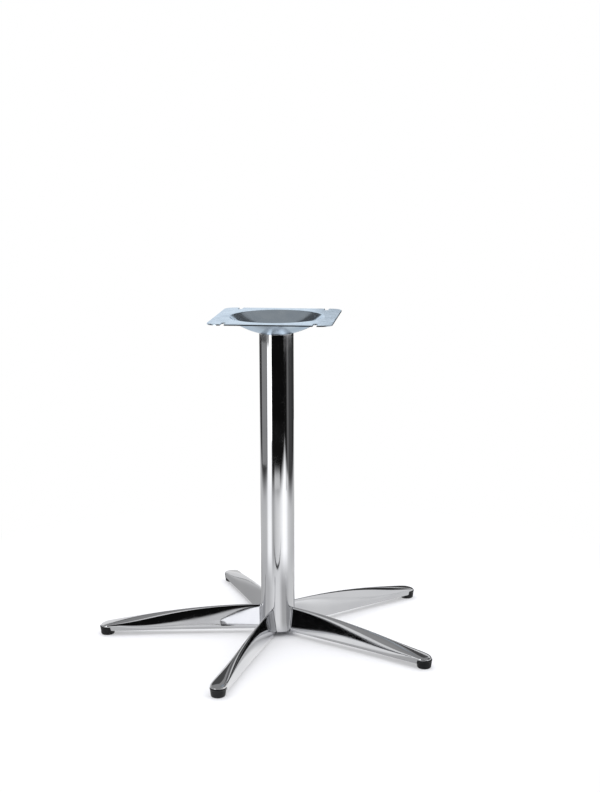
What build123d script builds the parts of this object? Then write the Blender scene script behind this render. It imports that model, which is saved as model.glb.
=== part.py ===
from build123d import *
import math
import os

# Five-star table base: a chromed tube on five pressed legs, with a dished plate for the top.
# Lengths are in millimetres, angles in degrees. Z is up, the floor is Z = 0, the tube's axis is X = Y = 0.

# Overall
TOTAL_HEIGHT = 725.0  # floor to the face that the table top lies on
UNDERSIDE_HEIGHT = 11.0  # floor to the lower edges of the legs and of the tube

# Column tube and the disc welded into its head
COLUMN_DIAMETER = 76.0
COLUMN_WALL = 2.0
TOP_DISC_THICKNESS = 6.0
WELD_GAP = 0.1  # room between welded pieces

# Legs
LEG_COUNT = 5
FIRST_LEG_ANGLE = -90.0
FOOT_CIRCLE_RADIUS = 386.0  # column axis to the middle of each foot
RIDGE_HUB_HEIGHT = 65.5  # ridge above the floor where it leaves the column, level
RIDGE_TIP_HEIGHT = 26.5  # ridge above the floor over the middle of the foot
LEG_SHEET = 1.8
HUB_EDGE_HALF_WIDTH = 9.4  # half the leg's width along its lower edges
TIP_EDGE_HALF_WIDTH = 17.5
HUB_SHOULDER_HALF_WIDTH = 2.0  # half the width at the shoulder, which guides how straight the sides are
SHOULDER_POWER = 1.5  # how late the shoulder widens on its way to the tip
HUB_RIDGE_ROUND = 3.2  # half the width over which the ridge rounds off
TIP_RIDGE_ROUND = 15.0
HUB_SHOULDER_DROP = 8.0  # from the ridge to the shoulder, over which the sides swing down
TIP_SHOULDER_DROP = 1.0
TIP_WALL_DROP = 8.0  # from the ridge to where the sides stand upright
HUB_FOLD_DEPTH = 5.0  # inside the ridge at the column the sheet's two sides meet in a fold this deep
FOLD_SHARES = (0.65, 0.3)  # where the flats of the inner face meet, as shares of its curve
SPREAD_POWER = 3.3  # how late the ridge spreads out on its way to the tip
LEG_STATIONS = (-0.04, 0.2, 0.4, 0.55, 0.7, 0.85, 1.0)  # shares of the ridge's arc
TIP_RIM_HEIGHT = 18.8  # floor to the cap's edge at the end of the leg
RIM_RISE_START = -9.0  # from the middle of the foot, where the lower edge starts to rise to the rim
RIM_RISE_END = -7.0
TRIM_DEPTH = 15.0  # the sections reach this far below the leg's lower edge before it is trimmed

# Feet
FOOT_CLEARANCE = 0.3
FOOT_RIM_INSET = 0.2  # the foot's rim stands this far inside the leg's outer face
FOOT_RIM_BAND = 2.4  # height of that rim, under the cap's edge
FOOT_RIM_STEP = 0.5  # the body below the rim is this much slimmer
FOOT_TAPER = 1.6
FOOT_BOTTOM_BEVEL = 3.0  # the lowest edge is broken in two flats, over this width and height
FOOT_BEVEL_KNEE = 0.3  # share of that width at which the flats meet
FOOT_PLUG_SLACK = 1.6  # room round the part of the foot inside the leg

# Top plate
PLATE_SIDE = 270.0
PLATE_CORNER_RADIUS = 26.0
PLATE_SHEET = 3.0
PLATE_EDGE_CHAMFER = 0.8
PLATE_TURN = 10.8  # about the tube's axis, from square to the first leg
DISH_MOUTH_RADIUS = 105.0  # where the dish's bowl would meet the flange, before rounding
DISH_DEPTH = 36.0  # plate's upper face to the underside of the dish
DISH_LIP_ROUND = 7.0
DISH_SEAT_ROUND = 20.0  # between the bowl and the flat seat on the tube's head
SLOT_WIDTH = 9.0
SLOT_LENGTH = 26.0
SLOT_SPACING = 198.0

# Bolt through the dish, M10, with its washers
BOLT_DIAMETER = 10.0
BOLT_HOLE_CLEARANCE = 0.5
THREAD_CLEARANCE = 0.1
BOLT_HEAD_WIDTH = 17.0
BOLT_HEAD_HEIGHT = 6.4
BOLT_LENGTH = 18.0
BOLT_CHAMFER = 0.9
FLAT_WASHER_DIAMETER = 30.0
FLAT_WASHER_THICKNESS = 2.5
SPRING_WASHER_DIAMETER = 18.0
SPRING_WASHER_THICKNESS = 2.6
SPRING_WASHER_CUT = 1.4

# Worked out from the sizes above
COLUMN_RADIUS = COLUMN_DIAMETER / 2
COLUMN_TOP = TOTAL_HEIGHT - DISH_DEPTH
DISH_FLOOR_TOP = COLUMN_TOP + PLATE_SHEET
RIDGE_RUN = FOOT_CIRCLE_RADIUS - COLUMN_RADIUS
RIDGE_DROP = RIDGE_HUB_HEIGHT - RIDGE_TIP_HEIGHT
RIDGE_RADIUS = (RIDGE_RUN**2 + RIDGE_DROP**2) / (2 * RIDGE_DROP)
RIDGE_SWEEP = math.asin(RIDGE_RUN / RIDGE_RADIUS)
LEG_REACH = FOOT_CIRCLE_RADIUS + 2 * TIP_EDGE_HALF_WIDTH
SECTION_DEPTH = RIDGE_HUB_HEIGHT - UNDERSIDE_HEIGHT + TRIM_DEPTH
RISE_START = FOOT_CIRCLE_RADIUS + RIM_RISE_START
RISE_END = FOOT_CIRCLE_RADIUS + RIM_RISE_END


def ridge_plane(share):
    """Plane square to the ridge at a share of its arc, with its origin on the ridge and its Y axis up."""
    angle = share * RIDGE_SWEEP
    along = COLUMN_RADIUS + RIDGE_RADIUS * math.sin(angle)
    height = RIDGE_HUB_HEIGHT - RIDGE_RADIUS * (1 - math.cos(angle))
    forward = (math.cos(angle), 0, -math.sin(angle))
    return Plane(origin=(along, 0, height), x_dir=(0, 1, 0), z_dir=forward)


def between(hub, tip, share):
    """Value between the hub's and the tip's."""
    return hub + (tip - hub) * share


def leg_side(share, inset):
    """Control points of one side of the leg's section, from the ridge down, set in from the outer face."""
    along = min(max(share, 0), 1)
    spread = (1 - math.cos(math.pi * along**SPREAD_POWER)) / 2
    fold = between(HUB_FOLD_DEPTH, 0, spread) if inset else 0
    ridge_round = between(HUB_RIDGE_ROUND, TIP_RIDGE_ROUND, spread) - inset
    edge = between(HUB_EDGE_HALF_WIDTH, TIP_EDGE_HALF_WIDTH, along) - inset
    shoulder = between(HUB_SHOULDER_HALF_WIDTH, TIP_EDGE_HALF_WIDTH, along**SHOULDER_POWER) - inset
    shoulder_drop = between(HUB_SHOULDER_DROP, TIP_SHOULDER_DROP, spread) + inset
    wall_drop = between(RIDGE_HUB_HEIGHT - UNDERSIDE_HEIGHT, TIP_WALL_DROP, spread) + inset
    return (0, -inset), (ridge_round, -inset - fold), (shoulder, -shoulder_drop), (edge, -wall_drop)


def half_section(share):
    """Section of the sheet on one side of the ridge: a curved outer face, and flats inside."""
    outer = leg_side(share, 0)
    inner = leg_side(share, LEG_SHEET)
    outer_edge = outer[-1][0]
    inner_edge = inner[-1][0]
    inside = Bezier(*inner, mode=Mode.PRIVATE)
    with BuildSketch(ridge_plane(share)) as section:
        with BuildLine():
            Bezier(*outer)
            Polyline(
                outer[-1],
                (outer_edge, -SECTION_DEPTH),
                (inner_edge, -SECTION_DEPTH),
                inner[-1],
                *[inside @ fold_share for fold_share in FOLD_SHARES],
                inner[0],
                outer[0],
            )
        make_face()
    return section.sketch


def below_leg(clearance):
    """Side view of the space under a leg, down from its lower edge less a clearance."""
    with BuildSketch(Plane.XZ) as space:
        with BuildLine():
            Polyline(
                (0, UNDERSIDE_HEIGHT - clearance),
                (RISE_START + clearance, UNDERSIDE_HEIGHT - clearance),
                (RISE_END + clearance, TIP_RIM_HEIGHT - clearance),
                (LEG_REACH, TIP_RIM_HEIGHT - clearance),
                (LEG_REACH, -SECTION_DEPTH),
                (0, -SECTION_DEPTH),
                close=True,
            )
        make_face()
    return space.sketch


# Column tube
with BuildPart() as column_tube:
    with BuildSketch(Plane.XY.offset(UNDERSIDE_HEIGHT)):
        Circle(COLUMN_RADIUS)
        Circle(COLUMN_RADIUS - COLUMN_WALL, mode=Mode.SUBTRACT)
    extrude(amount=COLUMN_TOP - UNDERSIDE_HEIGHT)

# Disc welded into the head of the tube, with the hole for the bolt
with BuildPart() as column_top_disc:
    with BuildSketch(Plane.XY.offset(COLUMN_TOP)):
        Circle(COLUMN_RADIUS - COLUMN_WALL - WELD_GAP)
        Circle(BOLT_DIAMETER / 2 + THREAD_CLEARANCE, mode=Mode.SUBTRACT)
    extrude(amount=-TOP_DISC_THICKNESS)

# One leg, lying along +X: a pressed shell, open below
tip_plane = ridge_plane(1)
tip_axis = Axis(tip_plane.origin, -tip_plane.y_dir)
with BuildPart() as leg_blank:
    loft([half_section(share) for share in LEG_STATIONS])
    mirror(about=Plane.XZ)
    revolve(half_section(1), axis=tip_axis, revolution_arc=180)
    extrude(below_leg(0), amount=LEG_REACH, both=True, mode=Mode.SUBTRACT)
    Cylinder(COLUMN_RADIUS + WELD_GAP, 2 * TOTAL_HEIGHT, mode=Mode.SUBTRACT)

# One foot under that leg: a round glide, exposed where the leg's lower edge rises, with a plug inside the leg
rim_radius = TIP_EDGE_HALF_WIDTH - FOOT_RIM_INSET
body_radius = rim_radius - FOOT_RIM_STEP
bottom_radius = body_radius - FOOT_TAPER
bevel_knee = FOOT_BOTTOM_BEVEL * FOOT_BEVEL_KNEE
plug_radius = TIP_EDGE_HALF_WIDTH - LEG_SHEET - FOOT_PLUG_SLACK
foot_top = TIP_RIM_HEIGHT - FOOT_CLEARANCE
foot_side = Plane((FOOT_CIRCLE_RADIUS, 0, 0), x_dir=(1, 0, 0), z_dir=(0, -1, 0))
with BuildPart() as foot_blank:
    with BuildSketch(foot_side):
        with BuildLine():
            Polyline(
                (0, 0),
                (bottom_radius - FOOT_BOTTOM_BEVEL, 0),
                (bottom_radius - bevel_knee, bevel_knee),
                (bottom_radius, FOOT_BOTTOM_BEVEL),
                (body_radius, foot_top - FOOT_RIM_BAND),
                (rim_radius, foot_top - FOOT_RIM_BAND),
                (rim_radius, foot_top),
                (0, foot_top),
                close=True,
            )
        make_face()
    revolve(axis=Axis(foot_side.origin, (0, 0, 1)))
    extrude(below_leg(FOOT_CLEARANCE), amount=LEG_REACH, both=True, mode=Mode.INTERSECT)
    with BuildSketch(Plane((FOOT_CIRCLE_RADIUS, 0, foot_top))):
        Circle(plug_radius)
    extrude(amount=UNDERSIDE_HEIGHT - FOOT_CLEARANCE - foot_top)

# Dished plate with a square flange and four screw slots that open at its edges. The bowl is part of a sphere
# about the tube's axis, from the flat seat, as wide as the tube, up to the flange
dish_floor = COLUMN_TOP + PLATE_SHEET / 2
flange_middle = TOTAL_HEIGHT - PLATE_SHEET / 2
flange_hole = DISH_MOUTH_RADIUS + 2 * DISH_LIP_ROUND
bowl_rise = flange_middle - dish_floor
bowl_centre_rise = (DISH_MOUTH_RADIUS**2 - COLUMN_RADIUS**2 + bowl_rise**2) / (2 * bowl_rise)
bowl_radius = math.hypot(bowl_centre_rise, COLUMN_RADIUS)
with BuildPart() as plate_blank:
    with BuildSketch(Plane.XZ):
        with BuildLine() as dish_line:
            seat = Line((BOLT_DIAMETER / 2 + BOLT_HOLE_CLEARANCE, dish_floor), (COLUMN_RADIUS, dish_floor))
            bowl = RadiusArc(seat @ 1, (DISH_MOUTH_RADIUS, flange_middle), -bowl_radius)
            Line(bowl @ 1, (flange_hole, flange_middle))
            fillet(dish_line.vertices().sort_by(Axis.X)[1], DISH_SEAT_ROUND)
            fillet(dish_line.vertices().sort_by(Axis.X)[-2], DISH_LIP_ROUND)
        trace(line_width=PLATE_SHEET)
    revolve(axis=Axis.Z)
    with BuildSketch(Plane.XY.offset(TOTAL_HEIGHT)):
        RectangleRounded(PLATE_SIDE, PLATE_SIDE, PLATE_CORNER_RADIUS)
        Circle(flange_hole, mode=Mode.SUBTRACT)
        with GridLocations(SLOT_SPACING, PLATE_SIDE, 2, 2):
            SlotOverall(2 * SLOT_LENGTH, SLOT_WIDTH, rotation=90, mode=Mode.SUBTRACT)
    extrude(amount=-PLATE_SHEET)
    flange_top = plate_blank.faces().filter_by(Axis.Z).sort_by(Axis.Z)[-1]
    chamfer(flange_top.outer_wire().edges(), PLATE_EDGE_CHAMFER)

# Bolt and washers on the floor of the dish
flat_washer_top = DISH_FLOOR_TOP + FLAT_WASHER_THICKNESS
spring_washer_top = flat_washer_top + SPRING_WASHER_THICKNESS
with BuildPart() as flat_washer:
    with BuildSketch(Plane.XY.offset(DISH_FLOOR_TOP)):
        Circle(FLAT_WASHER_DIAMETER / 2)
        Circle(BOLT_DIAMETER / 2 + BOLT_HOLE_CLEARANCE, mode=Mode.SUBTRACT)
    extrude(amount=FLAT_WASHER_THICKNESS)

with BuildPart() as spring_washer:
    with BuildSketch(Plane.XY.offset(flat_washer_top)):
        Circle(SPRING_WASHER_DIAMETER / 2)
        Circle(BOLT_DIAMETER / 2 + BOLT_HOLE_CLEARANCE, mode=Mode.SUBTRACT)
        Rectangle(SPRING_WASHER_DIAMETER, SPRING_WASHER_CUT, align=(Align.MIN, Align.CENTER), mode=Mode.SUBTRACT)
    extrude(amount=SPRING_WASHER_THICKNESS)

with BuildPart() as centre_bolt:
    with BuildSketch(Plane.XY.offset(spring_washer_top)):
        RegularPolygon(BOLT_HEAD_WIDTH / 2, 6, major_radius=False)
    extrude(amount=BOLT_HEAD_HEIGHT)
    chamfer(centre_bolt.faces().sort_by(Axis.Z)[-1].edges(), BOLT_CHAMFER)
    with BuildSketch(Plane.XY.offset(spring_washer_top)):
        Circle(BOLT_DIAMETER / 2)
    extrude(amount=-BOLT_LENGTH)
    chamfer(centre_bolt.edges().sort_by(Axis.Z)[0], BOLT_CHAMFER)

with BuildPart() as top_plate:
    add(plate_blank.part, rotation=(0, 0, PLATE_TURN))

# Legs and feet all round
with BuildPart() as legs:
    with PolarLocations(0, LEG_COUNT, FIRST_LEG_ANGLE):
        add(leg_blank.part)

with BuildPart() as feet:
    with PolarLocations(0, LEG_COUNT, FIRST_LEG_ANGLE):
        add(foot_blank.part)

# Name every piece and write it out
pieces = {
    "column_tube": column_tube.part,
    "column_top_disc": column_top_disc.part,
    "top_plate": top_plate.part,
    "flat_washer": flat_washer.part,
    "spring_washer": spring_washer.part,
    "centre_bolt": centre_bolt.part,
    "legs": legs.part,
    "feet": feet.part,
}
os.makedirs("parts", exist_ok=True)
for name, piece in pieces.items():
    piece.label = name
    export_step(piece, f"parts/{name}.step")
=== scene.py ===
import math

import bmesh
import bpy
from mathutils import Matrix, Vector


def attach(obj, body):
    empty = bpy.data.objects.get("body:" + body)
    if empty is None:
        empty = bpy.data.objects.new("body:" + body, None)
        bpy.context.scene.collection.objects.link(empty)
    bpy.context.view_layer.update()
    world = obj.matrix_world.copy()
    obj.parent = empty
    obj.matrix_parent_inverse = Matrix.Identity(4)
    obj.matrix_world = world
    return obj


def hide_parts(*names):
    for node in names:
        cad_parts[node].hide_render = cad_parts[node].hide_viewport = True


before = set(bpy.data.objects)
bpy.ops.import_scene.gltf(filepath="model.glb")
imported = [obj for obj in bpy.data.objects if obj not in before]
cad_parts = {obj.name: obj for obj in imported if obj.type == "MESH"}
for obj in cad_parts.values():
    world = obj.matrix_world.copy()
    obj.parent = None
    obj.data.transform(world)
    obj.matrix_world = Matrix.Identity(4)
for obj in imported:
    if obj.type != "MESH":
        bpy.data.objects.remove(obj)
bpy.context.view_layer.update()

# Five-star table base. Its sizes are in millimetres, and become metres in the meshes.
MM = 0.001
MERGE_DISTANCE = 1e-6  # in metres: points nearer than this are one
THIN_EDGE = 1e-7  # in metres: shorter edges are taken out
SEARCH_ROUNDS = 30  # halvings when a place is searched for

# Column tube
COLUMN_RADIUS = 38.0
COLUMN_WALL = 2.0
COLUMN_BOTTOM = 11.0
COLUMN_TOP = 689.0
COLUMN_EDGE_ROUND = 0.5
COLUMN_SEGMENTS = 256

# Legs
LEG_COUNT = 5
FIRST_LEG_ANGLE = -90.0
FOOT_CIRCLE_RADIUS = 386.0
WELD_GAP = 0.1
RIDGE_HUB_HEIGHT = 65.5
RIDGE_TIP_HEIGHT = 26.5
LEG_SHEET = 1.8
HUB_EDGE_HALF_WIDTH = 9.4
TIP_EDGE_HALF_WIDTH = 17.5
HUB_RIDGE_ROUND = 3.2
TIP_RIDGE_ROUND = 15.0
HUB_SHOULDER_HALF_WIDTH = 2.0
SHOULDER_POWER = 1.5
HUB_SHOULDER_DROP = 8.0
TIP_SHOULDER_DROP = 1.0
TIP_WALL_DROP = 8.0
HUB_FOLD_DEPTH = 5.0
SPREAD_POWER = 3.3
TIP_RIM_HEIGHT = 18.8
RIM_RISE_START = -9.0
RIM_RISE_END = -7.0
SECTION_DEPTH = 69.5
RIDGE_RUN = FOOT_CIRCLE_RADIUS - COLUMN_RADIUS
RIDGE_DROP = RIDGE_HUB_HEIGHT - RIDGE_TIP_HEIGHT
RIDGE_RADIUS = (RIDGE_RUN**2 + RIDGE_DROP**2) / (2 * RIDGE_DROP)
RIDGE_SWEEP = math.asin(RIDGE_RUN / RIDGE_RADIUS)
LEG_STEPS = 64  # along the ridge, up to where the foot begins
END_STEPS = 32  # over the foot, closer together
END_SHARE = 0.94  # share of the ridge's arc at which they begin
TIP_STEPS = 20  # round a quarter of the tip
CURVE_STEPS = 22  # from the ridge to the upright wall
WALL_STEPS = 6  # down the wall
LIP_STEPS = 4  # round the lower edge of the sheet
WELD_REACH = 2.2  # how far the weld runs out on the column and on the leg
WELD_TAPER = 0.45  # how much less it is at the lower ends
WELD_NUDGE = 0.01  # share of the ridge's arc used to find its direction
WELD_STEPS = 6
HUB_SEARCH = 0.1  # share of the ridge's arc, both ways, in which a row meets the column

# Feet
FOOT_CLEARANCE = 0.3
FOOT_RIM_INSET = 0.2
FOOT_RIM_BAND = 2.4
FOOT_RIM_STEP = 0.5
FOOT_TAPER = 1.6
FOOT_BOTTOM_ROUND = 3.0
FOOT_PLUG_RADIUS = 14.1
FOOT_SHRINK = 0.06  # keeps the rounded mesh inside the solid
FOOT_RIM_BELOW = ((-0.15, 0.1), (0.0, 0.35))  # rim's lower edge: out from its radius, up from the step
FOOT_RIM_ABOVE = ((0.0, -0.4), (-0.3, 0.0))  # rim's upper edge: out from its radius, up from its top
FOOT_PLUG_LIFT = 0.01
FOOT_SEGMENTS = 144
FOOT_ROUND_STEPS = 8
FOOT_WALL_STEPS = 6

# Camera, set from the photograph
CAMERA_AZIMUTH = 18.46
CAMERA_DISTANCE = 3164.6
CAMERA_HEIGHT = 1167.8
CAMERA_YAW = 2.305
CAMERA_PITCH = 8.521
FOCAL_PIXELS = 1447.8
CENTRE_X = 334.0
CENTRE_Y = 330.0
IMAGE_WIDTH = 600
IMAGE_HEIGHT = 792
SENSOR = 36.0
SIGHT_LIMIT = 100.0  # in metres


def new_mesh(name, vertices, faces):
    """Smooth closed mesh from points in millimetres, with double points joined and faces turned outwards.

    The points' places before the mesh is turned are kept with it, for the materials.
    """
    shape = bmesh.new()
    points = [shape.verts.new(Vector(v) * MM) for v in vertices]
    for face in faces:
        shape.faces.new([points[i] for i in face])
    bmesh.ops.remove_doubles(shape, verts=shape.verts, dist=MERGE_DISTANCE)
    bmesh.ops.dissolve_degenerate(shape, edges=shape.edges, dist=THIN_EDGE)
    bmesh.ops.recalc_face_normals(shape, faces=shape.faces)
    mesh = bpy.data.meshes.new(name)
    shape.to_mesh(mesh)
    shape.free()
    mesh.shade_smooth()
    own_place = mesh.attributes.new("own_place", "FLOAT_VECTOR", "POINT")
    own_place.data.foreach_set("vector", [c for v in mesh.vertices for c in v.co])
    return mesh


def place(name, mesh, material, node=None, turn=0.0):
    """Piece of the object: a copy of the mesh, turned about the column's axis."""
    turned = mesh.copy()
    turned.name = name
    turned.transform(Matrix.Rotation(math.radians(turn), 4, "Z"))
    turned.materials.append(material)
    piece = bpy.data.objects.new(name, turned)
    bpy.context.scene.collection.objects.link(piece)
    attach(piece, "root")
    if node:
        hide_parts(node)


def lathe(name, profile, segments):
    """Closed profile of (radius, height) points turned about the Z axis."""
    count = len(profile)
    vertices = []
    for step in range(segments):
        angle = 2 * math.pi * step / segments
        for radius, height in profile:
            vertices.append((radius * math.cos(angle), radius * math.sin(angle), height))
    faces = []
    for step in range(segments):
        near = step * count
        far = (step + 1) % segments * count
        for row in range(count):
            after = (row + 1) % count
            faces.append((near + row, far + row, far + after, near + after))
    return new_mesh(name, vertices, faces)


# Materials


def node_material(name):
    """New material with its node tree and its main shader."""
    material = bpy.data.materials.new(name)
    material.use_nodes = True
    tree = material.node_tree
    return material, tree, tree.nodes["Principled BSDF"]


def add_node(tree, kind, **values):
    """Node with its properties and inputs set by name."""
    node = tree.nodes.new(kind)
    for key, value in values.items():
        if hasattr(node, key):
            setattr(node, key, value)
        else:
            node.inputs[key.replace("_", " ")].default_value = value
    return node


def noise(tree, scale, detail=2.0, stretch=None):
    """Noise in the part's coordinates, or in the piece's own, drawn out where a stretch factor is small."""
    texture = add_node(tree, "ShaderNodeTexNoise", Scale=scale, Detail=detail)
    if stretch:
        own_place = add_node(tree, "ShaderNodeAttribute", attribute_name="own_place")
        mapping = add_node(tree, "ShaderNodeMapping")
        mapping.inputs["Scale"].default_value = stretch
        tree.links.new(own_place.outputs["Vector"], mapping.inputs["Vector"])
        tree.links.new(mapping.outputs["Vector"], texture.inputs["Vector"])
    else:
        coordinates = add_node(tree, "ShaderNodeTexCoord")
        tree.links.new(coordinates.outputs["Object"], texture.inputs["Vector"])
    return texture.outputs["Fac"]


def ramp(tree, source, low, high, start=0.35, end=0.65):
    """A value or colour that goes from low to high as the source goes from start to end."""
    node = add_node(tree, "ShaderNodeValToRGB")
    stops = node.color_ramp.elements
    stops[0].position = start
    stops[1].position = end
    for stop, value in zip(stops, (low, high)):
        stop.color = (*value, 1.0) if isinstance(value, tuple) else (value, value, value, 1.0)
    tree.links.new(source, node.inputs["Fac"])
    return node.outputs["Color"]


def bump(tree, shader, layers):
    """Chain of bumps, each a height source with its strength and its depth in metres."""
    last = None
    for source, strength, depth in layers:
        node = add_node(tree, "ShaderNodeBump", Strength=strength, Distance=depth)
        tree.links.new(source, node.inputs["Height"])
        if last:
            tree.links.new(last.outputs["Normal"], node.inputs["Normal"])
        last = node
    tree.links.new(last.outputs["Normal"], shader.inputs["Normal"])


def chrome_material(name, polish):
    """Bright chrome: faint wipe marks, polishing lines along the given stretch and a slight ripple."""
    material, tree, shader = node_material(name)
    shader.inputs["Metallic"].default_value = 1.0
    haze = noise(tree, 9.0, 4.0)
    tint = ramp(tree, haze, (0.54, 0.545, 0.565), (0.58, 0.585, 0.6))
    tree.links.new(tint, shader.inputs["Base Color"])
    smear = noise(tree, 26.0, 5.0)
    tree.links.new(ramp(tree, smear, 0.03, 0.08), shader.inputs["Roughness"])
    ripple = noise(tree, 14.0, 1.0, polish)
    lines = noise(tree, 700.0, 2.0, polish)
    bump(tree, shader, [(ripple, 0.12, 0.0006), (lines, 0.03, 0.00005)])
    return material


def zinc_material():
    """Bluish zinc plate: cloudy patches, fine grain and rubbed spots."""
    material, tree, shader = node_material("zinc_plate")
    shader.inputs["Metallic"].default_value = 1.0
    clouds = noise(tree, 22.0, 6.0)
    colour = ramp(tree, clouds, (0.50, 0.585, 0.67), (0.62, 0.70, 0.77), 0.3, 0.7)
    tree.links.new(colour, shader.inputs["Base Color"])
    shader.inputs["Specular Tint"].default_value = (0.82, 0.91, 1.0, 1.0)
    rubbed = noise(tree, 60.0, 4.0)
    tree.links.new(ramp(tree, rubbed, 0.13, 0.24), shader.inputs["Roughness"])
    grain = noise(tree, 900.0, 3.0)
    waves = noise(tree, 12.0, 1.0)
    bump(tree, shader, [(waves, 0.15, 0.0008), (grain, 0.12, 0.0001)])
    return material


def fastener_material():
    """Semi-bright zinc on the bolt and washers, with fine grain and small stains."""
    material, tree, shader = node_material("zinc_fastener")
    shader.inputs["Metallic"].default_value = 1.0
    stains = noise(tree, 140.0, 5.0)
    colour = ramp(tree, stains, (0.50, 0.51, 0.53), (0.66, 0.67, 0.68))
    tree.links.new(colour, shader.inputs["Base Color"])
    wear = noise(tree, 400.0, 3.0)
    tree.links.new(ramp(tree, wear, 0.22, 0.38), shader.inputs["Roughness"])
    grain = noise(tree, 2500.0, 2.0)
    bump(tree, shader, [(grain, 0.15, 0.00005)])
    return material


def steel_material():
    """Plain rolled steel with a little scale."""
    material, tree, shader = node_material("plain_steel")
    shader.inputs["Metallic"].default_value = 1.0
    scale_marks = noise(tree, 90.0, 6.0)
    colour = ramp(tree, scale_marks, (0.30, 0.30, 0.31), (0.46, 0.455, 0.45))
    tree.links.new(colour, shader.inputs["Base Color"])
    wear = noise(tree, 220.0, 4.0)
    tree.links.new(ramp(tree, wear, 0.4, 0.6), shader.inputs["Roughness"])
    grain = noise(tree, 1500.0, 2.0)
    bump(tree, shader, [(grain, 0.2, 0.0001)])
    return material


def plastic_material():
    """Black moulded plastic with a fine spark texture and paler scuffs."""
    material, tree, shader = node_material("foot_plastic")
    scuffs = noise(tree, 120.0, 6.0)
    colour = ramp(tree, scuffs, (0.006, 0.006, 0.0065), (0.016, 0.016, 0.017), 0.45, 0.8)
    tree.links.new(colour, shader.inputs["Base Color"])
    shader.inputs["Specular IOR Level"].default_value = 0.22
    wear = noise(tree, 260.0, 4.0)
    tree.links.new(ramp(tree, wear, 0.38, 0.55), shader.inputs["Roughness"])
    spark = noise(tree, 2200.0, 2.0)
    bump(tree, shader, [(spark, 0.25, 0.0001)])
    return material


column_chrome = chrome_material("column_chrome", (1.0, 1.0, 0.02))
leg_chrome = chrome_material("leg_chrome", (0.02, 1.0, 1.0))
zinc_plate = zinc_material()
zinc_fastener = fastener_material()
plain_steel = steel_material()
foot_plastic = plastic_material()

# Column: a tube with softened ends
outer = COLUMN_RADIUS
inner = COLUMN_RADIUS - COLUMN_WALL
soft = COLUMN_EDGE_ROUND
column_profile = [
    (outer, COLUMN_BOTTOM + 3 * soft),
    (outer, COLUMN_BOTTOM + soft),
    (outer - soft, COLUMN_BOTTOM),
    (inner + soft, COLUMN_BOTTOM),
    (inner, COLUMN_BOTTOM + soft),
    (inner, COLUMN_BOTTOM + 3 * soft),
    (inner, COLUMN_TOP - 3 * soft),
    (inner, COLUMN_TOP - soft),
    (inner + soft, COLUMN_TOP),
    (outer - soft, COLUMN_TOP),
    (outer, COLUMN_TOP - soft),
    (outer, COLUMN_TOP - 3 * soft),
]
place("column", lathe("column", column_profile, COLUMN_SEGMENTS), column_chrome, "column_tube")


# Legs: the pressed sheet, the same in every leg


def between(hub, tip, share):
    """Value between the hub's and the tip's."""
    return hub + (tip - hub) * share


def leg_side(share, inset):
    """Control points of one side of the leg's section, from the ridge down, set in from the outer face."""
    along = min(max(share, 0), 1)
    spread = (1 - math.cos(math.pi * along**SPREAD_POWER)) / 2
    fold = between(HUB_FOLD_DEPTH, 0, spread) if inset else 0
    ridge_round = between(HUB_RIDGE_ROUND, TIP_RIDGE_ROUND, spread) - inset
    edge = between(HUB_EDGE_HALF_WIDTH, TIP_EDGE_HALF_WIDTH, along) - inset
    shoulder = between(HUB_SHOULDER_HALF_WIDTH, TIP_EDGE_HALF_WIDTH, along**SHOULDER_POWER) - inset
    shoulder_drop = between(HUB_SHOULDER_DROP, TIP_SHOULDER_DROP, spread) + inset
    wall_drop = between(RIDGE_HUB_HEIGHT - COLUMN_BOTTOM, TIP_WALL_DROP, spread) + inset
    return (0, -inset), (ridge_round, -inset - fold), (shoulder, -shoulder_drop), (edge, -wall_drop)


def side_point(side, step):
    """Point of a section's side: along its curve up to step 1, then down the straight wall up to step 2."""
    if step <= 1:
        weights = ((1 - step)**3, 3 * (1 - step)**2 * step, 3 * (1 - step) * step**2, step**3)
        return (
            sum(w * point[0] for w, point in zip(weights, side)),
            sum(w * point[1] for w, point in zip(weights, side)),
        )
    edge, wall_top = side[-1]
    return edge, between(wall_top, -SECTION_DEPTH, step - 1)


def lower_edge(along):
    """Height of the leg's lower edge by distance from the axis: level, then up to the cap's rim."""
    start = FOOT_CIRCLE_RADIUS + RIM_RISE_START
    end = FOOT_CIRCLE_RADIUS + RIM_RISE_END
    share = min(max((along - start) / (end - start), 0), 1)
    return between(COLUMN_BOTTOM, TIP_RIM_HEIGHT, share * share * (3 - 2 * share))


def on_leg(share, turn, across, up):
    """Place on a leg along +X: across and up from the ridge, turned round the tip by turn."""
    angle = share * RIDGE_SWEEP
    along = COLUMN_RADIUS + RIDGE_RADIUS * math.sin(angle)
    height = RIDGE_HUB_HEIGHT - RIDGE_RADIUS * (1 - math.cos(angle))
    forward = across * math.sin(turn)
    return Vector((
        along + up * math.sin(angle) + forward * math.cos(angle),
        across * math.cos(turn),
        height + up * math.cos(angle) - forward * math.sin(angle),
    ))


def bisect(test, low, high):
    """Where the test turns from true to false."""
    for _ in range(SEARCH_ROUNDS):
        middle = (low + high) / 2
        if test(middle):
            low = middle
        else:
            high = middle
    return low


def skin_point(share, turn, inset, row, lift):
    """Point of the sheet's outer or inner face, in a row from the ridge to just above the lower edge."""
    side = leg_side(share, inset)

    def above(trial):
        spot = on_leg(share, turn, *side_point(side, trial))
        return spot.z > lower_edge(spot.x) + lift

    last = bisect(above, 0, 2)
    curve_end = min(last, 1)
    if row <= CURVE_STEPS:
        step = curve_end * row / CURVE_STEPS
    else:
        step = between(curve_end, last, (row - CURVE_STEPS) / WALL_STEPS)
    return on_leg(share, turn, *side_point(side, step))


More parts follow.
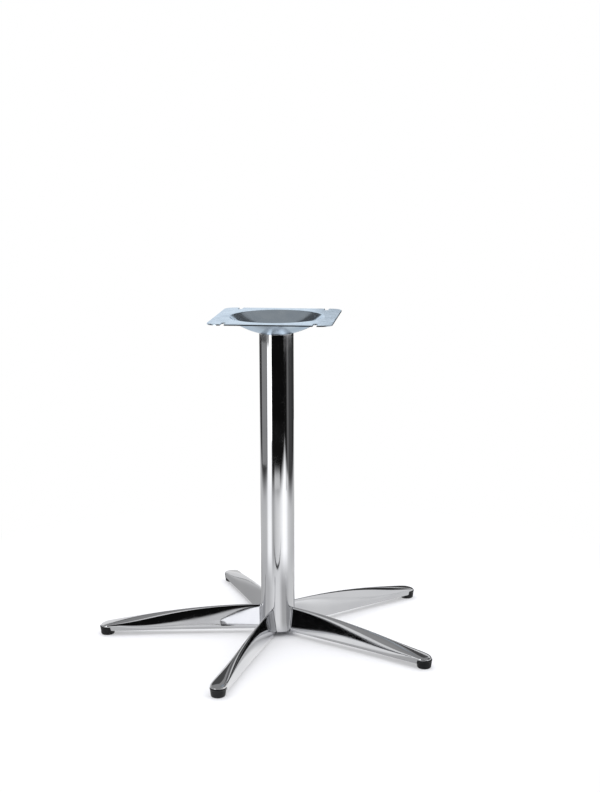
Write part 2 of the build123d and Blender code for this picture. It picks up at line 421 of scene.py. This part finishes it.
def hub_share(inset, row, lift):
    """Share of the ridge's arc at which that row of the face leaves the column."""
    def inside(trial):
        spot = skin_point(trial, 0, inset, row, lift)
        return math.hypot(spot.x, spot.y) < COLUMN_RADIUS + WELD_GAP

    return bisect(inside, -HUB_SEARCH, HUB_SEARCH)


def leg_lines(inset):
    """Lines of points from the column to the front of the tip, from the ridge's row to the edge's."""
    lift = LEG_SHEET / 2
    lines = []
    for row in range(CURVE_STEPS + WALL_STEPS + 1):
        start = hub_share(inset, row, lift)
        shares = [between(start, END_SHARE, n / LEG_STEPS) for n in range(LEG_STEPS)]
        shares += [between(END_SHARE, 1, n / END_STEPS) for n in range(END_STEPS + 1)]
        turns = [math.pi / 2 * n / TIP_STEPS for n in range(1, TIP_STEPS + 1)]
        line = [skin_point(share, 0, inset, row, lift) for share in shares]
        line += [skin_point(1, turn, inset, row, lift) for turn in turns]
        lines.append(line)
    return lines


def lip_lines(outer_line, inner_line):
    """Lines that round off the sheet's lower edge between its two faces."""
    lines = []
    for row in range(1, LIP_STEPS):
        angle = math.pi * row / LIP_STEPS
        line = []
        for a, b in zip(outer_line, inner_line):
            middle = (a + b) / 2
            half = (a - b) / 2
            line.append(middle + half * math.cos(angle) - Vector((0, 0, LEG_SHEET / 2 * math.sin(angle))))
        lines.append(line)
    return lines


def mirrored(line):
    """The same line on the other side of the leg."""
    return [Vector((p.x, -p.y, p.z)) for p in line]


def loft_faces(lines, vertices, faces):
    """Skin over neighbouring lines of points."""
    base = len(vertices)
    count = len(lines[0])
    for line in lines:
        vertices.extend(line)
    for row in range(len(lines) - 1):
        for column in range(count - 1):
            corner = base + row * count + column
            faces.append((corner, corner + 1, corner + count + 1, corner + count))


def leg_mesh():
    """Outer face, lower lip and inner face of both sides, closed at the column."""
    outside = leg_lines(0)
    inside = leg_lines(LEG_SHEET)
    half = outside + lip_lines(outside[-1], inside[-1]) + inside[::-1]
    vertices, faces = [], []
    loft_faces(half, vertices, faces)
    loft_faces([mirrored(line) for line in half], vertices, faces)
    for sign in (1, -1):
        hub = [Vector((line[0].x, sign * line[0].y, line[0].z)) for line in half]
        ends = [hub[i] for i in range(len(hub) // 2 + 1)], hub[::-1][: len(hub) // 2 + 1]
        loft_faces(ends, vertices, faces)
    return new_mesh("leg", vertices, faces)


def weld_mesh():
    """Hollow fillet of weld metal where a leg meets the column, tapering out at its lower ends."""
    sections = []
    for row in range(-CURVE_STEPS, CURVE_STEPS + 1):
        step = abs(row)
        sign = 1 if row >= 0 else -1
        share = hub_share(0, step, 0)
        joint = skin_point(share, 0, 0, step, 0)
        ahead = skin_point(share + WELD_NUDGE, 0, 0, step, 0)
        if step < CURVE_STEPS:
            beside = skin_point(share, 0, 0, step + 1, 0) - joint
        else:
            beside = joint - skin_point(share, 0, 0, step - 1, 0)
        out = (ahead - joint).normalized()
        normal = beside.cross(out).normalized()
        if normal.z < 0 and normal.y < 0:
            normal = -normal
        radial = Vector((joint.x, joint.y, 0)).normalized()
        up = (normal - radial * normal.dot(radial)).normalized()
        reach = WELD_REACH * (1 - WELD_TAPER * step / CURVE_STEPS)
        on_column = joint + up * reach
        scale = (COLUMN_RADIUS - WELD_GAP) / math.hypot(on_column.x, on_column.y)
        on_column.x *= scale
        on_column.y *= scale
        on_skin = joint + out * reach - normal * WELD_GAP
        root = joint - normal * WELD_GAP - radial * WELD_GAP
        ring = []
        for n in range(WELD_STEPS + 1):
            u = n / WELD_STEPS
            ring.append(on_column * (1 - u)**2 + joint * 2 * u * (1 - u) + on_skin * u**2)
        ring.append(root)
        sections.append([Vector((p.x, sign * p.y, p.z)) for p in ring])
    vertices, faces = [], []
    count = len(sections[0])
    for section in sections:
        vertices.extend(section)
    for row in range(len(sections) - 1):
        for n in range(count):
            after = (n + 1) % count
            here = row * count
            faces.append((here + n, here + after, here + count + after, here + count + n))
    faces.append(tuple(range(count)))
    last = (len(sections) - 1) * count
    faces.append(tuple(last + n for n in reversed(range(count))))
    return new_mesh("weld", vertices, faces)


def foot_mesh():
    """Glide under a leg along +X: rounded below, a rim under the cap, and a plug inside the leg."""
    rim = TIP_EDGE_HALF_WIDTH - FOOT_RIM_INSET - FOOT_SHRINK
    body = rim - FOOT_RIM_STEP
    bottom = body - FOOT_TAPER
    top = TIP_RIM_HEIGHT - FOOT_CLEARANCE
    profile = [(0, 0)]
    for n in range(FOOT_ROUND_STEPS + 1):
        angle = math.pi / 2 * n / FOOT_ROUND_STEPS
        profile.append((
            bottom - FOOT_BOTTOM_ROUND * (1 - math.sin(angle)),
            FOOT_BOTTOM_ROUND * (1 - math.cos(angle)),
        ))
    groove = top - FOOT_RIM_BAND
    for n in range(1, FOOT_WALL_STEPS + 1):
        share = n / FOOT_WALL_STEPS
        profile.append((between(bottom, body, share), between(FOOT_BOTTOM_ROUND, groove, share)))
    profile += [(rim + out, groove + up) for out, up in FOOT_RIM_BELOW]
    profile += [(rim + out, top + up) for out, up in FOOT_RIM_ABOVE]
    plug_top = top + FOOT_PLUG_LIFT
    profile += [(FOOT_PLUG_RADIUS, top), (FOOT_PLUG_RADIUS, plug_top), (0, plug_top)]
    vertices, faces = [], []
    count = len(profile)
    for step in range(FOOT_SEGMENTS):
        angle = 2 * math.pi * step / FOOT_SEGMENTS
        for n, (radius, height) in enumerate(profile):
            along = FOOT_CIRCLE_RADIUS + radius * math.cos(angle)
            ceiling = lower_edge(along) - FOOT_CLEARANCE
            if n < count - 2:
                height = min(height, ceiling)
            vertices.append((along, radius * math.sin(angle), height))
    for step in range(FOOT_SEGMENTS):
        near = step * count
        far = (step + 1) % FOOT_SEGMENTS * count
        for n in range(count - 1):
            faces.append((near + n, far + n, far + n + 1, near + n + 1))
    return new_mesh("foot", vertices, faces)


leg = leg_mesh()
weld = weld_mesh()
foot = foot_mesh()
for number in range(LEG_COUNT):
    turn = FIRST_LEG_ANGLE + number * 360 / LEG_COUNT
    place(f"leg_{number + 1}", leg, leg_chrome, "legs", turn)
    place(f"leg_weld_{number + 1}", weld, leg_chrome, None, turn)
    place(f"foot_{number + 1}", foot, foot_plastic, "feet", turn)

# Solids that keep their form get their finish
for node_name, finish in (
    ("top_plate", zinc_plate),
    ("column_top_disc", plain_steel),
    ("centre_bolt", zinc_fastener),
    ("flat_washer", zinc_fastener),
    ("spring_washer", zinc_fastener),
):
    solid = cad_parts[node_name]
    solid.data.materials.clear()
    solid.data.materials.append(finish)

# Studio: floor, light, and cards and ground that only the chrome mirrors.
# Its angles are in degrees round the column, from the camera to its right, and its lengths in metres.
FLOOR_SIZE = 40.0
FLOOR_NEAR = 0.6  # the floor shows shadows within this radius
FLOOR_FAR = 1.1  # and is plain white from here on
FLOOR_GLOW = 0.35  # share of plain white in the floor within the first of these
HUB_SHADE = (0.03, 0.065)  # the shadow under the column is full within the first and fades by the second
GROUND_RADIUS = 4.6
GROUND_START = 0.04  # the mirrored ground fades in from here
GROUND_FULL = 0.13  # and is whole from here on
GROUND_HEIGHT = 0.002
NEAR_PAPER = (0.36, 0.7)  # the paper beside the object reaches to the first and is gone at the second
# White paper on a dark studio floor: angles and distances of its edges, then brightness by angle of the
# paper beside the object, of the rest of the paper and of the floor round it
PAPER_EDGES = ((-25.0, 1.37), (8.0, 1.33), (100.0, 1.25), (-98.0, 1.33))
NEAR_LEVELS = (
    (-150, 0.5), (-110, 0.72), (-60, 0.75), (-25, 1.15), (8, 1.15), (28, 0.62), (52, 0.6), (80, 0.92),
    (125, 0.92), (160, 0.8),
)
PAPER_LEVELS = (
    (-150, 0.72), (-78, 0.78), (-62, 1.6), (-43, 1.6), (-33, 0.62), (-26, 0.62), (-10, 0.95),
    (10, 1.15), (24, 1.4), (42, 1.8), (60, 1.7), (78, 1.05), (100, 0.85), (140, 0.7),
)
DARK_LEVELS = (
    (-140, 0.06), (-69, 0.06), (-65, 1.9), (-39, 1.9), (-34, 0.01), (66, 0.01), (76, 0.2),
    (82, 0.2), (88, 0.08), (112, 0.08), (124, 0.04),
)
BRIGHTEST = 2.0  # highest level that these can hold
PAPER_SOFTNESS = 0.24
SHADOW_LINE_DISTANCE = 0.54  # a bent line of painted shadow on the paper, nearest to the column in front of it
SHADOW_LINE_ASIDE = -0.025
SHADOW_LINE_BEND = 1.8
SHADOW_LINE_WIDTH = 0.03
SHADOW_LINE_REACH = 0.42
SHADOW_LINE_CORE = 0.3  # share of its width and of its reach in which it is full
WALL_RADIUS = 2.3
CARD_STEPS = 24
SOFT_EDGE_START = 0.4  # share of its height at which a soft card starts to clear
CEILING_RADIUS = 4.6
CEILING_HEIGHT = 3.2
CEILING_LEVEL = 0.36
DISC_STEPS = 96
AMBIENT_COLOUR = (0.95, 0.96, 1.0, 1.0)
AMBIENT_LEVEL = 0.9
WHITE = (1.0, 1.0, 1.0, 1.0)
camera_turn = math.radians(CAMERA_AZIMUTH)


def studio_spot(angle, radius, height):
    """Place in the studio."""
    turn = math.radians(angle) + camera_turn
    return Vector((radius * math.sin(turn), -radius * math.cos(turn), height))


def stage_object(name, vertices, faces, material):
    """Thing that isn't part of the object."""
    mesh = bpy.data.meshes.new(name)
    mesh.from_pydata(vertices, [], faces)
    mesh.materials.append(material)
    thing = bpy.data.objects.new(name, mesh)
    bpy.context.scene.collection.objects.link(thing)
    return thing


def bare_material(name):
    """New material without a shader, with its node tree and the socket for its surface."""
    material = bpy.data.materials.new(name)
    material.use_nodes = True
    tree = material.node_tree
    tree.nodes.remove(tree.nodes["Principled BSDF"])
    return material, tree, tree.nodes["Material Output"].inputs["Surface"]


def combine(tree, operation, first, second):
    """Result of a sum on two values."""
    node = add_node(tree, "ShaderNodeMath", operation=operation)
    for socket, value in zip(node.inputs, (first, second)):
        if isinstance(value, float):
            socket.default_value = value
        else:
            tree.links.new(value, socket)
    return node.outputs["Value"]


def fade(tree, source, start, end, low=0.0, high=1.0):
    """Value that goes softly from low to high as the source goes from start to end."""
    node = add_node(tree, "ShaderNodeMapRange", interpolation_type="SMOOTHSTEP")
    for key, value in (("From Min", start), ("From Max", end), ("To Min", low), ("To Max", high)):
        node.inputs[key].default_value = value
    tree.links.new(source, node.inputs["Value"])
    return node.outputs["Result"]


def mix_shaders(tree, factor, first, second):
    """Shader between two others."""
    node = add_node(tree, "ShaderNodeMixShader")
    tree.links.new(factor, node.inputs["Fac"])
    tree.links.new(first, node.inputs[1])
    tree.links.new(second, node.inputs[2])
    return node.outputs["Shader"]


def from_centre(tree):
    """Distance from the column's axis."""
    spot = add_node(tree, "ShaderNodeTexCoord")
    length = add_node(tree, "ShaderNodeVectorMath", operation="LENGTH")
    tree.links.new(spot.outputs["Object"], length.inputs[0])
    return length.outputs["Value"]


def seen_by_eye(tree):
    """1 for what the camera sees directly, mirrored or through glass, 0 for what only lights the object."""
    path = add_node(tree, "ShaderNodeLightPath")
    direct = combine(tree, "MAXIMUM", path.outputs["Is Camera Ray"], path.outputs["Is Glossy Ray"])
    return combine(tree, "MAXIMUM", direct, path.outputs["Is Transmission Ray"])


def floor_material():
    """Pale floor that shows the object's shadow and is plain white farther out."""
    material, tree, surface = bare_material("floor")
    matte = add_node(tree, "ShaderNodeBsdfDiffuse", Color=(0.93, 0.93, 0.95, 1.0))
    glow = add_node(tree, "ShaderNodeEmission", Color=WHITE, Strength=1.0)
    distance = from_centre(tree)
    far = fade(tree, distance, FLOOR_NEAR, FLOOR_FAR, FLOOR_GLOW, 1.0)
    share = combine(tree, "MULTIPLY", far, fade(tree, distance, *HUB_SHADE))
    factor = combine(tree, "MULTIPLY", share, seen_by_eye(tree))
    tree.links.new(mix_shaders(tree, factor, matte.outputs["BSDF"], glow.outputs["Emission"]), surface)
    return material


half = FLOOR_SIZE / 2
floor_corners = [(-half, -half, 0), (half, -half, 0), (half, half, 0), (-half, half, 0)]
stage_object("floor", floor_corners, [(0, 1, 2, 3)], floor_material())


def mirror_only(thing):
    """Hides a card from all but mirror reflections."""
    thing.visible_camera = False
    thing.visible_diffuse = False
    thing.visible_transmission = False
    thing.visible_volume_scatter = False
    thing.visible_shadow = False


def card_material(name, level, soft_top=None):
    """Card of one brightness, clearing towards its top if its upper edge is soft."""
    material, tree, surface = bare_material(name)
    glow = add_node(tree, "ShaderNodeEmission", Color=WHITE, Strength=level)
    shown = glow.outputs["Emission"]
    if soft_top:
        spot = add_node(tree, "ShaderNodeTexCoord")
        height = add_node(tree, "ShaderNodeSeparateXYZ")
        tree.links.new(spot.outputs["Object"], height.inputs["Vector"])
        clear = add_node(tree, "ShaderNodeBsdfTransparent")
        gone = fade(tree, height.outputs["Z"], SOFT_EDGE_START * soft_top, soft_top)
        shown = mix_shaders(tree, gone, shown, clear.outputs["BSDF"])
    tree.links.new(shown, surface)
    return material


def wall_card(name, start, end, bottom, top, level, radius=WALL_RADIUS, soft=False):
    """Upright curved card: its angles, lower and upper edge, brightness, and distance from the column."""
    vertices = []
    for n in range(CARD_STEPS + 1):
        angle = between(start, end, n / CARD_STEPS)
        vertices += [studio_spot(angle, radius, bottom), studio_spot(angle, radius, top)]
    faces = [(2 * n, 2 * n + 2, 2 * n + 3, 2 * n + 1) for n in range(CARD_STEPS)]
    material = card_material(name, level, top if soft else None)
    mirror_only(stage_object(name, vertices, faces, material))


def disc_points(radius, height):
    """Corners of a level disc."""
    return [studio_spot(360 * n / DISC_STEPS, radius, height) for n in range(DISC_STEPS)]


wall_card("card_front", -33.0, 26.0, 0.0, 1.15, 0.006)
wall_card("card_front_low", 26.0, 48.0, 0.0, 0.8, 0.006)
wall_card("strip_front", -18.0, 17.0, 0.0, 0.08, 0.85, 1.33, soft=True)
wall_card("strip_right", 60.0, 79.0, 0.0, 0.07, 0.95, 1.3, soft=True)
wall_card("card_left", -114.0, -66.0, 0.4, 1.15, 0.012)
wall_card("card_left_low", -118.0, -71.0, 0.0, 0.42, 0.36, 1.62)
wall_card("card_back_right", 122.0, 176.0, 0.0, 1.0, 0.05)
wall_card("card_back_high", 146.0, 174.0, 1.45, 2.8, 0.1)
wall_card("card_back_left", 186.0, 215.0, 1.45, 2.8, 0.1)
wall_card("card_right_high", 81.0, 128.0, 1.05, 2.4, 0.05)
wall_card("panel_grey", -70.0, -50.0, 0.35, 1.6, 0.4, 2.0)
wall_card("panel_white", -50.0, -34.0, 0.0, 1.1, 2.6, 2.0)
ceiling_points = disc_points(CEILING_RADIUS, CEILING_HEIGHT)
whole_disc = [tuple(range(DISC_STEPS))]
ceiling_paint = card_material("card_ceiling", CEILING_LEVEL)
mirror_only(stage_object("card_ceiling", ceiling_points, whole_disc, ceiling_paint))


def round_ramp(tree, angle, stops):
    """Glow by angle round the column, from pairs of angle and level."""
    node = add_node(tree, "ShaderNodeValToRGB")
    elements = node.color_ramp.elements
    while len(elements) < len(stops):
        elements.new(0.5)
    for element, (at, level) in zip(elements, stops):
        element.position = at / 360 + 0.5
        share = level / BRIGHTEST
        element.color = (share, share, share, 1.0)
    tree.links.new(angle, node.inputs["Fac"])
    glow = add_node(tree, "ShaderNodeEmission", Strength=BRIGHTEST)
    tree.links.new(node.outputs["Color"], glow.inputs["Color"])
    return glow.outputs["Emission"]


def shadow_line(tree, spot):
    """1 on a bent line of painted shadow on the paper in front of the object, 0 elsewhere."""
    parts = add_node(tree, "ShaderNodeSeparateXYZ")
    tree.links.new(spot.outputs["Object"], parts.inputs["Vector"])
    aside = combine(tree, "SUBTRACT", parts.outputs["Y"], SHADOW_LINE_ASIDE)
    bend = combine(tree, "MULTIPLY", combine(tree, "MULTIPLY", aside, aside), SHADOW_LINE_BEND)
    line = combine(tree, "ADD", bend, SHADOW_LINE_DISTANCE)
    off = combine(tree, "ABSOLUTE", combine(tree, "SUBTRACT", parts.outputs["X"], line), 0.0)
    on_line = fade(tree, off, SHADOW_LINE_WIDTH, SHADOW_LINE_CORE * SHADOW_LINE_WIDTH)
    within = fade(tree, combine(tree, "ABSOLUTE", aside, 0.0), SHADOW_LINE_REACH, SHADOW_LINE_CORE * SHADOW_LINE_REACH)
    return combine(tree, "MULTIPLY", on_line, within)


def ground_material():
    """White paper, lit unevenly, on a dark studio floor, with a bent line of painted shadow in front of the
    object.
    """
    material, tree, surface = bare_material("studio_ground")
    spot = add_node(tree, "ShaderNodeTexCoord")
    angle = add_node(tree, "ShaderNodeTexGradient", gradient_type="RADIAL")
    tree.links.new(spot.outputs["Object"], angle.inputs["Vector"])
    beyond = None
    for at, distance in PAPER_EDGES:
        turn = math.radians(at)
        along = add_node(tree, "ShaderNodeVectorMath", operation="DOT_PRODUCT")
        along.inputs[1].default_value = (math.cos(turn), math.sin(turn), 0)
        tree.links.new(spot.outputs["Object"], along.inputs[0])
        edge = combine(tree, "SUBTRACT", along.outputs["Value"], distance)
        beyond = combine(tree, "MAXIMUM", beyond, edge) if beyond else edge
    near = round_ramp(tree, angle.outputs["Fac"], NEAR_LEVELS)
    paper = round_ramp(tree, angle.outputs["Fac"], PAPER_LEVELS)
    dark = round_ramp(tree, angle.outputs["Fac"], DARK_LEVELS)
    off_paper = fade(tree, beyond, -PAPER_SOFTNESS, PAPER_SOFTNESS)
    outer_part = mix_shaders(tree, off_paper, paper, dark)
    distance = from_centre(tree)
    solid = mix_shaders(tree, fade(tree, distance, *NEAR_PAPER), near, outer_part)
    clear = add_node(tree, "ShaderNodeBsdfTransparent")
    shown = fade(tree, distance, GROUND_START, GROUND_FULL)
    bare = mix_shaders(tree, shown, clear.outputs["BSDF"], solid)
    black = add_node(tree, "ShaderNodeEmission", Color=(0.0, 0.0, 0.0, 1.0), Strength=0.0)
    # the bent line of painted shadow is plain black
    tree.links.new(mix_shaders(tree, shadow_line(tree, spot), bare, black.outputs["Emission"]), surface)
    return material


ground_points = disc_points(GROUND_RADIUS, 0)
ground_turn = camera_turn - math.pi / 2
ground_points = [Matrix.Rotation(-ground_turn, 3, "Z") @ spot for spot in ground_points]
ground = stage_object("studio_ground", ground_points, whole_disc, ground_material())
ground.location.z = GROUND_HEIGHT
ground.rotation_euler.z = ground_turn
mirror_only(ground)

world = bpy.data.worlds.new("studio")
world.use_nodes = True
bpy.context.scene.world = world
world_tree = world.node_tree
ambient = world_tree.nodes["Background"]
ambient.inputs["Color"].default_value = AMBIENT_COLOUR
ambient.inputs["Strength"].default_value = AMBIENT_LEVEL
backdrop = add_node(world_tree, "ShaderNodeBackground", Color=WHITE, Strength=1.0)
sky = mix_shaders(
    world_tree, seen_by_eye(world_tree), ambient.outputs["Background"], backdrop.outputs["Background"]
)
world_tree.links.new(sky, world_tree.nodes["World Output"].inputs["Surface"])


def softbox(name, angle, radius, height, size, power):
    """Square lamp aimed at the star: its place, its side in metres and its power in watts."""
    lamp = bpy.data.lights.new(name, "AREA")
    lamp.shape = "SQUARE"
    lamp.size = size
    lamp.energy = power
    holder = bpy.data.objects.new(name, lamp)
    bpy.context.scene.collection.objects.link(holder)
    holder.location = studio_spot(angle, radius, height)
    holder.rotation_mode = "QUATERNION"
    holder.rotation_quaternion = (-holder.location).to_track_quat("-Z", "Y")
    holder.visible_glossy = False


softbox("key_lamp", -150.0, 1.0, 3.4, 3.2, 55.0)
softbox("fill_lamp", 60.0, 2.6, 3.4, 3.2, 30.0)

# Camera
lens = bpy.data.cameras.new("camera")
lens.sensor_width = SENSOR
lens.lens = FOCAL_PIXELS * SENSOR / IMAGE_HEIGHT
lens.shift_x = (IMAGE_WIDTH / 2 - CENTRE_X) / IMAGE_HEIGHT
lens.shift_y = (CENTRE_Y - IMAGE_HEIGHT / 2) / IMAGE_HEIGHT
lens.clip_end = SIGHT_LIMIT
camera = bpy.data.objects.new("camera", lens)
bpy.context.scene.collection.objects.link(camera)
to_row = Matrix.Rotation(camera_turn, 3, "Z")
camera.location = to_row @ Vector((0, -CAMERA_DISTANCE, CAMERA_HEIGHT)) * MM
yaw = math.radians(CAMERA_YAW)
pitch = math.radians(CAMERA_PITCH)
level_part = math.cos(pitch)
sight = to_row @ Vector((math.sin(yaw) * level_part, math.cos(yaw) * level_part, -math.sin(pitch)))
camera.rotation_mode = "QUATERNION"
camera.rotation_quaternion = sight.to_track_quat("-Z", "Y")
bpy.context.scene.camera = camera
bpy.context.scene.view_settings.view_transform = "Standard"
